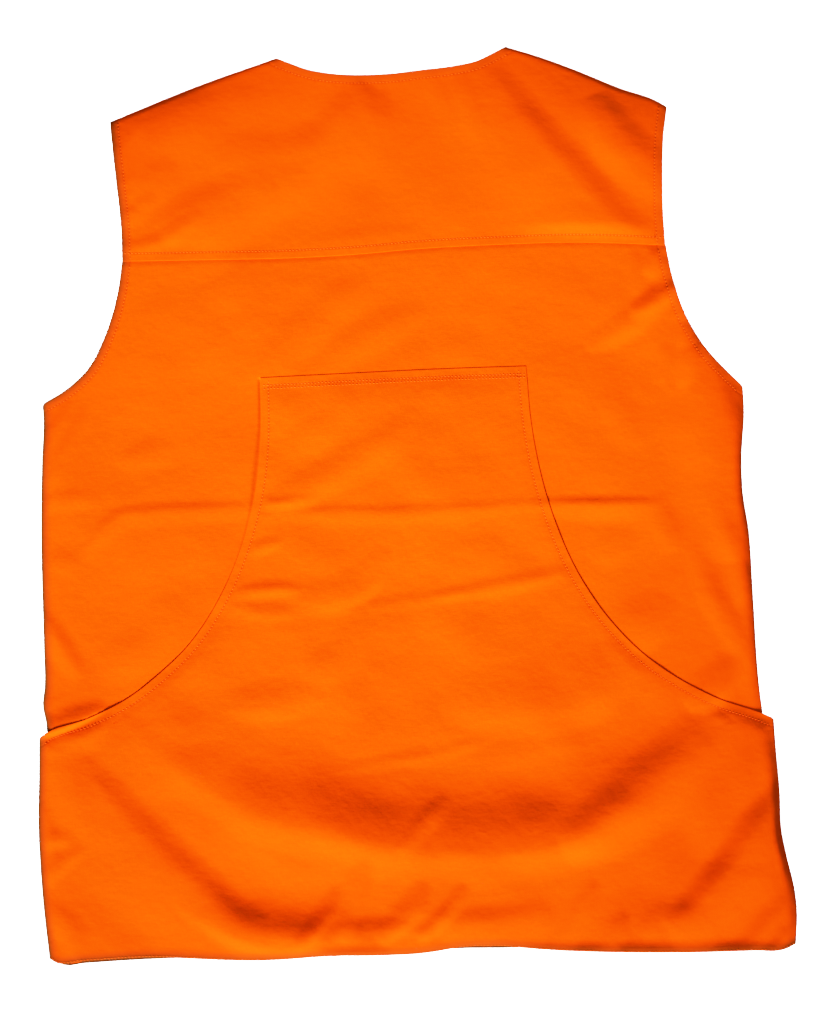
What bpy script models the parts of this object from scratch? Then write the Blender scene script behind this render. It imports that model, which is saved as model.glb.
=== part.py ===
"""High-visibility gilet, laid flat on its fronts with its back up.

Two fronts lie on the surface, the back body and back yoke lie on them, and the
back pocket lies on the back body. Each is a wall of cloth of its own. +X is the
right of the picture, +Y runs to the shoulders and +Z is up. The origin is on the
surface, under the middle of the outline. Tables are in millimetres.
"""

import math
from collections import namedtuple

import bmesh
import bpy
from mathutils import Vector

MM = 0.001

# Cloth and seams
WALL = 1.2
GAP = 0.3
SEAM_STEP = 0.5
SEAM_BAND = 9.0

# How high the back stands off the fronts, and how far in from a seam it gets there
CROWN = 2.0
LEFT_ROLL = 42.0
RIGHT_ROLL = 26.0
SHOULDER_ROLL = 34.0
NECK_DROP = 1.3
NECK_ROLL = 40.0

# The pocket's slack, and where it is sewn down or wraps past the side seams
POCKET_SLACK = 0.7
SEWN_RAMP = 26.0
WRAP_DROP = 2.0
WRAP_WIDTH = 5.0

# The back body's hem lies just inside the pocket's
HIDDEN_HEM_SHARE = 0.975
HIDDEN_HEM_RAISE = 1.5

# Where a panel's long edge turns a corner, as a share of that edge
NECK_SHARES = (0.29, 0.70)
PIT_SHARE = 0.79
POCKET_CORNER_SHARE = 0.38
POCKET_LIP_SHARE = 0.398
FRONT_PIT_SHARE = 0.65
FRONT_NECK_SHARE = 0.86

# Steps of the cloth's mesh: narrow ones at the rim, then even ones between corners
BODY_RIM = (0.007, 0.02, 0.045)
POCKET_RIM = (0.005, 0.0108, 0.024)
BODY_CELLS_ACROSS = (9, 15, 11)
BODY_CELLS_UP = (25, 7)
YOKE_CELLS_UP = (11,)
POCKET_CELLS_ACROSS = (48,)
POCKET_CELLS_UP = (17, 2, 22)
FRONT_RIM = (0.02,)
FRONT_CELLS_ACROSS = (12,)
FRONT_CELLS_UP = (16, 5, 4)
LINE_STEPS = 10

ORANGE = (0.95, 0.125, 0.004, 1.0)
CLOTH_ROUGHNESS = 0.78

# Corners of the panels as they lie: across, up
CORNER = {
    "left neck": (-115.9, 366.6),
    "right neck": (71.9, 376.1),
    "left tip": (-252.0, 314.4),
    "right tip": (204.0, 326.8),
    "left seam": (-241.3, 199.5),
    "right seam": (202.3, 212.7),
    "left pit": (-307.3, 83.1),
    "right pit": (266.3, 97.9),
    "left body hem": (-293.0, -368.5),
    "right body hem": (302.3, -356.6),
    "left pocket top": (-128.6, 104.8),
    "right pocket top": (88.7, 114.4),
    "left pocket side": (-310.0, -190.6),
    "right pocket side": (291.7, -174.1),
    "left pocket hem": (-301.5, -371.0),
    "right pocket hem": (310.0, -358.6),
    "centre neck": (-18.5, 256.0),
    "centre hem": (3.7, -364.6),
    "left front hem": (-298.0, -371.0),
    "right front hem": (301.0, -356.0),
}

# Points that each edge passes through between its two corners, left to right or hem to shoulder
EDGE = {
    "left shoulder": ((-178.2, 344.5),),
    "right shoulder": ((100.6, 367.4), (133.4, 355.3), (166.2, 341.9), (195.5, 331.8)),
    "neckline": ((-104.4, 362.0), (-91.5, 357.2), (-72.0, 353.5), (-30.0, 352.9), (2.2, 356.4),
                 (32.0, 360.2), (48.5, 364.0), (60.5, 369.8)),
    "yoke seam": ((-178.2, 200.8), (-96.2, 202.8), (-47.0, 205.7), (2.2, 210.2), (67.8, 213.5),
                  (117.0, 215.1), (166.2, 214.3)),
    "left yoke armhole": ((-242.1, 225.8), (-246.2, 265.0)),
    "right yoke armhole": ((200.6, 235.0), (199.7, 270.0), (200.8, 302.0)),
    "left body armhole": ((-289.0, 93.8), (-270.0, 111.0), (-254.5, 141.0), (-245.0, 174.0)),
    "right body armhole": ((253.9, 109.3), (236.7, 127.4), (219.0, 156.0), (207.2, 190.0)),
    "left side": ((-302.8, -282.6), (-303.2, -208.8), (-304.1, -178.5), (-307.0, -164.0),
                  (-305.5, -148.0), (-306.1, -118.6), (-308.4, -20.0), (-307.7, 37.2),
                  (-306.5, 70.0)),
    "right side": ((295.8, -307.2), (290.0, -249.8), (283.0, -173.0), (280.2, -151.4),
                   (274.5, -69.4), (271.2, -20.2), (266.2, 12.6), (265.4, 41.3), (267.4, 78.2)),
    "pocket top": ((-59.3, 108.3), (30.9, 112.6)),
    "left pocket side": ((-306.1, -331.8), (-308.8, -299.0), (-310.7, -258.0), (-310.2, -225.0)),
    "right pocket side": ((310.7, -330.0), (309.3, -317.0), (301.6, -283.5), (298.4, -268.0),
                          (296.6, -233.4), (293.3, -196.5)),
    "left hand opening": ((-303.6, -185.9), (-270.5, -174.4), (-236.7, -157.2), (-210.5, -136.7),
                          (-187.2, -113.7), (-164.2, -79.3), (-140.2, -20.2), (-129.8, 33.1),
                          (-128.2, 60.0)),
    "right hand opening": ((283.5, -170.5), (246.9, -158.0), (216.9, -143.2), (184.3, -120.6),
                           (158.0, -94.0), (135.1, -61.6), (107.7, 1.1), (93.0, 66.7)),
    "pocket hem": ((-295.5, -374.6), (-275.8, -373.2), (-235.6, -370.4), (-112.6, -371.6),
                   (-79.8, -368.7), (10.4, -365.2), (37.0, -360.8), (67.8, -360.1),
                   (100.6, -362.8), (215.4, -365.4), (272.8, -363.8), (303.0, -362.2)),
    "left front hem": ((-292.0, -376.1), (-275.8, -374.9), (-235.6, -372.2), (-178.2, -370.0),
                       (-112.6, -369.8), (-30.6, -366.2)),
    "right front hem": ((35.0, -362.6), (67.8, -362.2), (100.6, -361.8), (215.4, -363.6)),
    "left front armhole": ((-278.0, 89.5), (-250.0, 107.0), (-233.0, 134.0), (-226.0, 170.0),
                           (-226.5, 215.0), (-237.0, 268.0)),
    "right front armhole": ((240.0, 101.5), (218.0, 118.0), (200.0, 146.0), (191.0, 180.0),
                            (188.0, 225.0), (193.0, 280.0)),
    "left front neck": ((-60.0, 292.0),),
    "right front neck": ((28.0, 303.0),),
}

# Largest folds. path is the crest, left to right or down; above and below are how far its
# slopes reach to the left and to the right of that way; height is negative for a trough.
# The pocket lies on the back, so a fold of the back lifts the pocket as well.
Fold = namedtuple("Fold", "panel path above below height")
FOLDS = (
    Fold("back", ((65.0, 352.0), (117.0, 301.0), (170.0, 251.0), (199.0, 223.0)), 30.0, 26.0, -1.1),
    Fold("back", ((-200.0, 215.0), (-150.0, 262.0), (-60.0, 330.0)), 26.0, 34.0, 0.9),
    Fold("back", ((206.0, 177.0), (183.0, 154.0), (150.0, 134.0)), 22.0, 26.0, 1.0),
    Fold("back", ((-304.0, 16.0), (-298.0, 50.0), (-280.0, 80.0)), 20.0, 22.0, 0.9),
    Fold("back", ((229.0, 126.0), (242.0, 93.0), (253.0, 54.0), (260.0, 4.0), (266.0, -60.0)),
         24.0, 36.0, 1.6),
    Fold("back", ((-190.0, -208.0), (-145.0, -235.0), (-96.0, -257.0), (-20.0, -274.0),
                  (51.0, -272.0), (150.0, -258.0), (224.0, -204.0)), 46.0, 48.0, 1.4),
    Fold("pocket", ((-200.0, -204.0), (-145.0, -235.0), (-96.0, -257.0), (-55.0, -271.0),
                    (-6.0, -275.0), (51.0, -272.0), (105.0, -270.0), (150.0, -258.0),
                    (191.0, -230.0), (224.0, -204.0), (255.0, -173.0)), 40.0, 40.0, 3.2),
    Fold("pocket", ((-288.0, -199.0), (-264.0, -230.0), (-232.0, -266.0), (-207.0, -288.0),
                    (-179.0, -313.0), (-158.0, -335.0), (-127.0, -349.0), (-95.0, -352.0)),
         24.0, 30.0, 2.6),
    Fold("pocket", ((306.0, -228.0), (289.0, -254.0), (274.0, -283.0), (258.0, -310.0),
                    (237.0, -328.0), (212.0, -338.0)), 24.0, 20.0, 2.6),
    Fold("pocket", ((-101.0, -366.0), (-88.0, -342.0), (-72.0, -312.0)), 17.0, 17.0, 1.3),
    Fold("pocket", ((0.0, -356.0), (14.0, -336.0), (40.0, -308.0)), 17.0, 17.0, 1.2),
    Fold("pocket", ((118.0, -362.0), (128.0, -338.0), (142.0, -312.0)), 18.0, 18.0, 1.2),
    Fold("pocket", ((264.0, -362.0), (280.0, -346.0), (296.0, -324.0)), 16.0, 14.0, 1.4),
    Fold("pocket", ((-128.0, -2.0), (-20.0, -4.0), (92.0, 8.0)), 16.0, 22.0, 0.8),
    Fold("pocket", ((-126.0, -70.0), (-40.0, -72.0), (60.0, -64.0), (120.0, -52.0)),
         18.0, 24.0, 0.8),
    Fold("pocket", ((38.0, -157.0), (100.0, -158.0), (148.0, -150.0), (180.0, -118.0)),
         26.0, 16.0, 1.4),
    Fold("pocket", ((-133.0, 42.0), (-131.0, 20.0), (-137.0, -14.0)), 16.0, 16.0, 1.5),
    Fold("pocket", ((97.0, 50.0), (106.0, 4.0), (126.0, -44.0)), 16.0, 16.0, 1.2),
    Fold("pocket", ((-292.0, -184.0), (-262.0, -172.0), (-232.0, -156.0)), 14.0, 18.0, 1.6),
)


# Curves through points

def smooth_line(points):
    """A smooth line through the points, as many short straight steps."""
    pts = [Vector(p) for p in points]
    spans = [(b - a).length for a, b in zip(pts, pts[1:])]
    slopes = []
    for i in range(len(pts)):
        if i == 0:
            slopes.append((pts[1] - pts[0]) / spans[0])
        elif i == len(pts) - 1:
            slopes.append((pts[-1] - pts[-2]) / spans[-1])
        else:
            before = (pts[i] - pts[i - 1]) / spans[i - 1]
            after = (pts[i + 1] - pts[i]) / spans[i]
            whole = spans[i - 1] + spans[i]
            slopes.append((before * spans[i] + after * spans[i - 1]) / whole)
    line = [pts[0]]
    for i, span in enumerate(spans):
        for step in range(1, LINE_STEPS + 1):
            t = step / LINE_STEPS
            line.append(
                pts[i] * (2 * t**3 - 3 * t**2 + 1)
                + pts[i + 1] * (3 * t**2 - 2 * t**3)
                + slopes[i] * span * (t**3 - 2 * t**2 + t)
                + slopes[i + 1] * span * (t**3 - t**2)
            )
    return line


def point_at(line, share):
    """The point at a share of a line's length."""
    spans = [(b - a).length for a, b in zip(line, line[1:])]
    left = share * sum(spans)
    for i, span in enumerate(spans):
        if left <= span or i == len(spans) - 1:
            return line[i].lerp(line[i + 1], min(left / span, 1.0))
        left -= span


def nearest(line, spot):
    """Distance from a spot to a line, the side it lies on (+1 is left) and how far along it is."""
    best = None
    for i, (a, b) in enumerate(zip(line, line[1:])):
        along = b - a
        t = max(0.0, min(1.0, (spot - a).dot(along) / along.length_squared))
        off = spot - a.lerp(b, t)
        if best is None or off.length < best[0]:
            side = 1.0 if along.x * off.y - along.y * off.x >= 0 else -1.0
            best = (off.length, side, (i + t) / (len(line) - 1))
    return best


def edge(start, name, end):
    """The named edge between two corners; a corner may also be given as a point."""
    ends = [CORNER[c] if isinstance(c, str) else tuple(c) for c in (start, end)]
    return smooth_line([ends[0], *EDGE[name], ends[1]])


def moved(line, up):
    return [point + Vector((0.0, up)) for point in line]


def reach(distance, width):
    """0 on an edge, rising smoothly to 1 at a width in from it."""
    t = max(0.0, min(1.0, distance / width))
    return t * t * (3 - 2 * t)


# A panel between four edges

def along(*pieces):
    """One edge made of lines end to end: (line, share where it ends)."""
    def at(share):
        begin = 0.0
        for line, end in pieces:
            if share <= end or end == 1.0:
                return point_at(line, (share - begin) / (end - begin))
            begin = end
    return at


def laid_between(bottom, top, left, right):
    """A point of the sheet that spans four edges, by its shares across and up."""
    def at(u, v):
        ruled_up = bottom(u) * (1 - v) + top(u) * v
        ruled_across = left(v) * (1 - u) + right(v) * u
        corners = (bottom(0) * (1 - u) + bottom(1) * u) * (1 - v)
        corners = corners + (top(0) * (1 - u) + top(1) * u) * v
        return ruled_up + ruled_across - corners
    return at


def steps(corners, cells, rim=()):
    """Shares from 0 to 1: rim steps at both ends and even steps from corner to corner."""
    ends = [0.0, *corners, 1.0]
    shares = [0.0, *rim]
    for i, count in enumerate(cells):
        start = max(ends[i], shares[-1])
        stop = ends[i + 1] if i < len(cells) - 1 else 1.0 - (rim[-1] if rim else 0.0)
        shares += [start + (stop - start) * (k + 1) / count for k in range(count)]
    return shares + ([1.0 - r for r in reversed(rim[:-1])] + [1.0] if rim else [])


def cloth_panel(name, sheet, across, up, height):
    """A wall of cloth: the sheet's points at their height, thickened downwards."""
    bm = bmesh.new()
    columns = len(across) - 1
    rows = len(up) - 1
    bmesh.ops.create_grid(bm, x_segments=columns, y_segments=rows, size=0.5)
    for vert in bm.verts:
        u = across[round((vert.co.x + 0.5) * columns)]
        v = up[round((vert.co.y + 0.5) * rows)]
        spot = sheet(u, v)
        vert.co = Vector((spot.x, spot.y, height(spot))) * MM
    mesh = bpy.data.meshes.new(name)
    bm.to_mesh(mesh)
    bm.free()
    mesh.shade_smooth()
    mesh.materials.append(cloth_material(name))
    panel = bpy.data.objects.new(name, mesh)
    gilet.objects.link(panel)
    wall = panel.modifiers.new("wall", "SOLIDIFY")
    wall.thickness = WALL * MM
    wall.offset = -1.0
    return panel


def cloth_material(name):
    material = bpy.data.materials.new(name)
    material.use_nodes = True
    shader = material.node_tree.nodes["Principled BSDF"]
    shader.inputs["Base Color"].default_value = ORANGE
    shader.inputs["Roughness"].default_value = CLOTH_ROUGHNESS
    shader.inputs["Metallic"].default_value = 0.0
    return material


# How high each panel's upper face lies

def fold_height(panel, spot):
    total = 0.0
    for fold, crest in CRESTS:
        if fold.panel != panel:
            continue
        distance, side, share = nearest(crest, spot)
        width = fold.above if side > 0 else fold.below
        if distance < width:
            slope = math.cos(0.5 * math.pi * distance / width) ** 2
            total += fold.height * slope * math.sin(math.pi * min(max(share, 0.0), 1.0)) ** 0.5
    return total


def back_height(spot):
    """Upper face of the back, body and yoke alike, over the fronts."""
    lift = reach(nearest(LEFT_SIDE, spot)[0], LEFT_ROLL)
    lift *= reach(nearest(RIGHT_SIDE, spot)[0], RIGHT_ROLL)
    for shoulder in SHOULDERS:
        lift *= reach(nearest(shoulder, spot)[0], SHOULDER_ROLL)
    neck = 1.0 - reach(nearest(NECKLINE, spot)[0], NECK_ROLL)
    folds = fold_height("back", spot) * lift
    return WALL + GAP + CROWN * lift - NECK_DROP * neck * lift + folds + WALL


def yoke_height(spot):
    """The yoke's seam allowance is pressed up under its stitched band, so that band stands up."""
    band = 1.0 - reach(nearest(YOKE_SEAM, spot)[0], SEAM_BAND)
    return back_height(spot) + SEAM_STEP * band


def pocket_height(spot):
    """The pocket's points are the back's, moved out by its slack and folds."""
    sewn = reach(nearest(POCKET_TOP, spot)[0], SEWN_RAMP)
    sewn *= reach(nearest(POCKET_HEM, spot)[0], SEWN_RAMP)
    side = min(nearest(line, spot)[0] for line in POCKET_SIDES)
    wrap = WRAP_DROP * (1.0 - reach(side, WRAP_WIDTH))
    slack = sewn * reach(side, 2 * WRAP_WIDTH) * POCKET_SLACK
    folds = fold_height("pocket", spot) * reach(side, 2 * WRAP_WIDTH)
    return back_height(spot) + GAP + WALL + slack + max(folds, 0.0) - wrap


def front_height(spot):
    return WALL


# The gilet's edges as they lie
YOKE_SEAM = edge("left seam", "yoke seam", "right seam")
YOKE_HEM = moved(YOKE_SEAM, 0.5 * GAP)
BODY_TOP = moved(YOKE_SEAM, -0.5 * GAP)
NECKLINE = edge("left neck", "neckline", "right neck")
SHOULDERS = (
    edge("left tip", "left shoulder", "left neck"),
    edge("right neck", "right shoulder", "right tip"),
)
LEFT_SIDE = edge("left body hem", "left side", "left pit")
RIGHT_SIDE = edge("right body hem", "right side", "right pit")
POCKET_TOP = edge("left pocket top", "pocket top", "right pocket top")
POCKET_HEM = edge("left pocket hem", "pocket hem", "right pocket hem")
POCKET_SIDES = (
    edge("left pocket hem", "left pocket side", "left pocket side"),
    edge("right pocket hem", "right pocket side", "right pocket side"),
)
CRESTS = [(fold, smooth_line(fold.path)) for fold in FOLDS]


def hidden_hem():
    """The back body's hem, narrower than the pocket's and a little higher."""
    inner = [(x * HIDDEN_HEM_SHARE, y + HIDDEN_HEM_RAISE) for x, y in EDGE["pocket hem"]]
    return smooth_line([CORNER["left body hem"], *inner, CORNER["right body hem"]])


def back_yoke():
    sheet = laid_between(
        along((YOKE_HEM, 1.0)),
        along((SHOULDERS[0], NECK_SHARES[0]), (NECKLINE, NECK_SHARES[1]), (SHOULDERS[1], 1.0)),
        along((edge(YOKE_HEM[0], "left yoke armhole", "left tip"), 1.0)),
        along((edge(YOKE_HEM[-1], "right yoke armhole", "right tip"), 1.0)),
    )
    across = steps(NECK_SHARES, BODY_CELLS_ACROSS, BODY_RIM)
    cloth_panel("back_yoke", sheet, across, steps((), YOKE_CELLS_UP, BODY_RIM), yoke_height)


def back_body():
    left_arm = edge("left pit", "left body armhole", BODY_TOP[0])
    right_arm = edge("right pit", "right body armhole", BODY_TOP[-1])
    sheet = laid_between(
        along((hidden_hem(), 1.0)),
        along((BODY_TOP, 1.0)),
        along((LEFT_SIDE, PIT_SHARE), (left_arm, 1.0)),
        along((RIGHT_SIDE, PIT_SHARE), (right_arm, 1.0)),
    )
    across = steps(NECK_SHARES, BODY_CELLS_ACROSS, BODY_RIM)
    cloth_panel("back_body", sheet, across, steps((PIT_SHARE,), BODY_CELLS_UP), back_height)


def back_pocket():
    left_opening = edge("left pocket side", "left hand opening", "left pocket top")
    right_opening = edge("right pocket side", "right hand opening", "right pocket top")
    sheet = laid_between(
        along((POCKET_HEM, 1.0)),
        along((POCKET_TOP, 1.0)),
        along((POCKET_SIDES[0], POCKET_CORNER_SHARE), (left_opening, 1.0)),
        along((POCKET_SIDES[1], POCKET_CORNER_SHARE), (right_opening, 1.0)),
    )
    across = steps((), POCKET_CELLS_ACROSS, POCKET_RIM)
    up = steps((POCKET_CORNER_SHARE, POCKET_LIP_SHARE), POCKET_CELLS_UP)
    cloth_panel("back_pocket", sheet, across, up, pocket_height)


def fronts():
    """The two fronts meet edge to edge along the centre line and lie flat."""
    half_gap = Vector((0.5 * GAP, 0.0))
    hem = Vector(CORNER["centre hem"])
    neck = Vector(CORNER["centre neck"])
    up = steps((FRONT_PIT_SHARE, FRONT_NECK_SHARE), FRONT_CELLS_UP)
    left = laid_between(
        along((edge("left front hem", "left front hem", hem - half_gap), 1.0)),
        along((SHOULDERS[0], 1.0)),
        along(
            (edge("left front hem", "left side", "left pit"), FRONT_PIT_SHARE),
            (edge("left pit", "left front armhole", "left tip"), 1.0),
        ),
        along(
            ([hem - half_gap, neck - half_gap], FRONT_NECK_SHARE),
            (edge(neck - half_gap, "left front neck", "left neck"), 1.0),
        ),
    )
    right = laid_between(
        along((edge(hem + half_gap, "right front hem", "right front hem"), 1.0)),
        along((SHOULDERS[1], 1.0)),
        along(
            ([hem + half_gap, neck + half_gap], FRONT_NECK_SHARE),
            (edge(neck + half_gap, "right front neck", "right neck"), 1.0),
        ),
        along(
            (edge("right front hem", "right side", "right pit"), FRONT_PIT_SHARE),
            (edge("right pit", "right front armhole", "right tip"), 1.0),
        ),
    )
    across = steps((), FRONT_CELLS_ACROSS, FRONT_RIM)
    cloth_panel("front_left", left, across, up, front_height)
    cloth_panel("front_right", right, across, up, front_height)


for old in list(bpy.data.objects):
    bpy.data.objects.remove(old, do_unlink=True)
gilet = bpy.data.collections.new("high_visibility_gilet")
bpy.context.scene.collection.children.link(gilet)

fronts()
back_body()
back_yoke()
back_pocket()
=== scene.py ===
import math

import bmesh
import bpy
import numpy as np
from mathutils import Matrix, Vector


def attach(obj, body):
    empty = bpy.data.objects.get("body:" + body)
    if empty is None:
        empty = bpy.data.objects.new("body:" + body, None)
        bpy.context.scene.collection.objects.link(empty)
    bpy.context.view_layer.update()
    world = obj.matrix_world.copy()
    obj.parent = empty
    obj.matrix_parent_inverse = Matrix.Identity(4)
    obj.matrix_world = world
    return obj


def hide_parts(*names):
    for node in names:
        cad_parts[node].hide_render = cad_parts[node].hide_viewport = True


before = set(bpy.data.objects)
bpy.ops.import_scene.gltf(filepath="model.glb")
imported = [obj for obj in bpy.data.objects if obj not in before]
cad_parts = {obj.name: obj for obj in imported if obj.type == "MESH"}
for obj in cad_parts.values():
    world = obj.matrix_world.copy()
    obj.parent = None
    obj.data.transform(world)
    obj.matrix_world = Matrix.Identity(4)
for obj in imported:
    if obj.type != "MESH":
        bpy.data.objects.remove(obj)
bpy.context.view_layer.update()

# The two fronts: plain panels of orange cotton twill, face down on the surface and edge to
# edge down the middle. They stop just short of the sides and shoulders, where the back
# rolls round them, so only a sliver of their hem shows. Lengths in the tables are in mm.

MM = 0.001
TWILL = 0.5
LAYER_GAP = 0.1
ROLLED_IN = 1.7
FRONT_PIT_SHARE = 0.65
FRONT_NECK_SHARE = 0.86
FRONT_CELLS = (60, 130)
RIM = np.array([0.0, 0.4, 1.1, 2.4])
CURVE_STEPS = 8

# Corners of the panels as they lie: across, up
CORNER = {
    "left neck": (-115.9, 366.6),
    "right neck": (71.9, 376.1),
    "left tip": (-252.0, 314.4),
    "right tip": (204.0, 326.8),
    "left pit": (-307.3, 83.1),
    "right pit": (266.3, 97.9),
    "centre neck": (-18.5, 256.0),
    "centre hem": (3.7, -364.6),
    "left front hem": (-298.0, -371.0),
    "right front hem": (301.0, -356.0),
}

# Points that each edge passes through between its two corners, left to right or hem to shoulder
EDGE = {
    "left shoulder": ((-178.2, 344.5),),
    "right shoulder": ((100.6, 367.4), (133.4, 355.3), (166.2, 341.9), (195.5, 331.8)),
    "left side": ((-302.8, -282.6), (-303.2, -208.8), (-304.1, -178.5), (-307.0, -164.0),
                  (-305.5, -148.0), (-306.1, -118.6), (-308.4, -20.0), (-307.7, 37.2),
                  (-306.5, 70.0)),
    "right side": ((295.8, -307.2), (290.0, -249.8), (283.0, -173.0), (280.2, -151.4),
                   (274.5, -69.4), (271.2, -20.2), (266.2, 12.6), (265.4, 41.3), (267.4, 78.2)),
    "left front hem": ((-292.0, -376.1), (-275.8, -374.9), (-235.6, -372.2), (-178.2, -370.0),
                       (-112.6, -369.8), (-30.6, -366.2)),
    "right front hem": ((35.0, -362.6), (67.8, -362.2), (100.6, -361.8), (215.4, -363.6)),
    "left front armhole": ((-278.0, 89.5), (-250.0, 107.0), (-233.0, 134.0), (-226.0, 170.0),
                           (-226.5, 215.0), (-237.0, 268.0)),
    "right front armhole": ((240.0, 101.5), (218.0, 118.0), (200.0, 146.0), (191.0, 180.0),
                            (188.0, 225.0), (193.0, 280.0)),
    "left front neck": ((-60.0, 292.0),),
    "right front neck": ((28.0, 303.0),),
}


def smooth_line(points):
    """A smooth line through the points, as many short straight steps."""
    points = np.array(points, float)
    spans = np.hypot(*np.diff(points, axis=0).T)[:, None]
    chords = np.diff(points, axis=0) / spans
    inner = (chords[:-1] * spans[1:] + chords[1:] * spans[:-1]) / (spans[:-1] + spans[1:])
    slopes = np.vstack([chords[:1], inner, chords[-1:]])
    t = (np.arange(1, CURVE_STEPS + 1) / CURVE_STEPS)[:, None]
    line = [points[:1]]
    for i, span in enumerate(spans):
        line.append(
            points[i] * (2 * t**3 - 3 * t**2 + 1)
            + points[i + 1] * (3 * t**2 - 2 * t**3)
            + slopes[i] * span * (t**3 - 2 * t**2 + t)
            + slopes[i + 1] * span * (t**3 - t**2)
        )
    return np.vstack(line)


def edge(start, name, end):
    """The named edge between two corners; a corner may also be given as a point."""
    ends = [CORNER[c] if isinstance(c, str) else tuple(c) for c in (start, end)]
    return smooth_line([ends[0], *EDGE[name], ends[1]])


def lengths_along(line):
    return np.concatenate([[0.0], np.cumsum(np.hypot(*np.diff(line, axis=0).T))])


def run(*pieces):
    """One edge of a panel made of lines end to end: (line, share where it ends)."""
    def at(share):
        share = np.asarray(share, float)
        spot = np.zeros(share.shape + (2,))
        begin = 0.0
        for line, end in pieces:
            here = (share >= begin) & (share <= end)
            reached = lengths_along(line)
            wanted = (share[here] - begin) / (end - begin) * reached[-1]
            spot[here, 0] = np.interp(wanted, reached, line[:, 0])
            spot[here, 1] = np.interp(wanted, reached, line[:, 1])
            begin = end
        return spot
    return at


def laid_between(bottom, top, left, right):
    """A point of the sheet that spans four edges, by its shares across and up."""
    def at(u, v):
        across, up = u[:, None], v[:, None]
        zero, one = np.zeros_like(u), np.ones_like(u)
        ruled_up = bottom(u) * (1 - up) + top(u) * up
        ruled_across = left(v) * (1 - across) + right(v) * across
        low = bottom(zero) * (1 - across) + bottom(one) * across
        high = top(zero) * (1 - across) + top(one) * across
        return ruled_up + ruled_across - low * (1 - up) - high * up
    return at


def spread(index, count, length):
    """Share of a length where a row lies: rows close up at both rims and are even between."""
    last = len(RIM) - 1
    even = RIM[-1] + np.clip((index - last) / (count - 2 * last), 0, 1) * (length - 2 * RIM[-1])
    place = np.where(index < last, RIM[np.clip(index, 0, last)], even)
    place = np.where(index > count - last, length - RIM[np.clip(count - index, 0, last)], place)
    return place / length


def in_scene(name, data):
    """A new object, placed in the scene."""
    piece = bpy.data.objects.new(name, data)
    bpy.context.scene.collection.objects.link(piece)
    return piece


def cloth_sheet(name, sheet, cells, height):
    """A sheet of cloth: grid points laid on the panel at their height, thickened downwards."""
    columns, rows = cells
    bm = bmesh.new()
    bmesh.ops.create_grid(bm, x_segments=columns, y_segments=rows, size=0.5)
    mesh = bpy.data.meshes.new(name)
    bm.to_mesh(mesh)
    bm.free()
    grid = np.empty(len(mesh.vertices) * 3)
    mesh.vertices.foreach_get("co", grid)
    column, row = np.rint((grid.reshape(-1, 3)[:, :2] + 0.5) * cells).astype(int).T
    u, zero = column / columns, np.zeros(len(column))
    tall = np.linalg.norm(sheet(u, zero + 1) - sheet(u, zero), axis=1)
    v = spread(row, rows, tall)
    wide = np.linalg.norm(sheet(zero + 1, v) - sheet(zero, v), axis=1)
    x, y = sheet(spread(column, columns, wide), v).T
    points = np.stack([x, y, height(x, y)], axis=1) * MM
    mesh.vertices.foreach_set("co", points.ravel())
    mesh.update()
    mesh.shade_smooth()
    piece = in_scene(name, mesh)
    wall = piece.modifiers.new("thickness", "SOLIDIFY")
    wall.thickness = TWILL * MM
    wall.offset = -1.0
    return piece, x, y


def group_tree(name, inputs, outputs):
    """An empty shader node group and its two end nodes. Place is a vector, all else numbers."""
    tree = bpy.data.node_groups.new(name, "ShaderNodeTree")
    for way, sockets in (("INPUT", inputs), ("OUTPUT", outputs)):
        for socket in sockets:
            kind = "NodeSocketVector" if socket == "Place" else "NodeSocketFloat"
            tree.interface.new_socket(socket, in_out=way, socket_type=kind)
    return tree, tree.nodes.new("NodeGroupInput"), tree.nodes.new("NodeGroupOutput")


def group_of(tree, end, **results):
    """The group, once its results are joined to its outputs."""
    for name, socket in results.items():
        tree.links.new(socket, end.inputs[name])
    return tree


def feed(tree, slot, value):
    """Joins a socket to another one, or gives it a plain value."""
    if isinstance(value, bpy.types.NodeSocket):
        tree.links.new(value, slot)
    else:
        slot.default_value = value


def maths(tree, operation, *values):
    """A Math node whose inputs are sockets or plain numbers; gives its output."""
    node = tree.nodes.new("ShaderNodeMath")
    node.operation = operation
    for slot, value in zip(node.inputs, values):
        feed(tree, slot, value)
    return node.outputs[0]


def bell(tree, aside, width):
    """1 where aside is 0, falling away smoothly on both sides of it."""
    share = maths(tree, "DIVIDE", aside, width)
    squared = maths(tree, "MULTIPLY", share, maths(tree, "MULTIPLY", share, -1.0))
    return maths(tree, "EXPONENT", squared)


def mixed(tree, share, first, second):
    """A colour between two, each of them a plain colour or a socket."""
    node = tree.nodes.new("ShaderNodeMix")
    node.data_type = "RGBA"
    tree.links.new(share, node.inputs["Factor"])
    feed(tree, node.inputs[6], first)
    feed(tree, node.inputs[7], second)
    return node.outputs[2]


def noise(tree, place, scale, detail, roughness):
    """Soft noise from 0 to 1."""
    node = tree.nodes.new("ShaderNodeTexNoise")
    tree.links.new(place, node.inputs["Vector"])
    node.inputs["Scale"].default_value = scale
    node.inputs["Detail"].default_value = detail
    node.inputs["Roughness"].default_value = roughness
    return node.outputs["Fac"]


TWO_PI = 2.0 * math.pi
TWILL_PITCH = 0.85
TWILL_ANGLE = math.radians(58.0)
FLOATS_TO_RIB = 1.7
RIB_WANDER = 3.2
THREAD_STREAK = 0.22
RIB_HEIGHT = 0.17
FLOAT_HEIGHT = 0.1
SLUB_HEIGHT = 1.3
SLUB_TONE = 0.6
RUMPLE_TURN = math.radians(-10.0)
RUMPLE_STRETCH = (0.7, 1.4, 1.0)
WRINKLE_HEIGHT = 0.5

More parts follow.
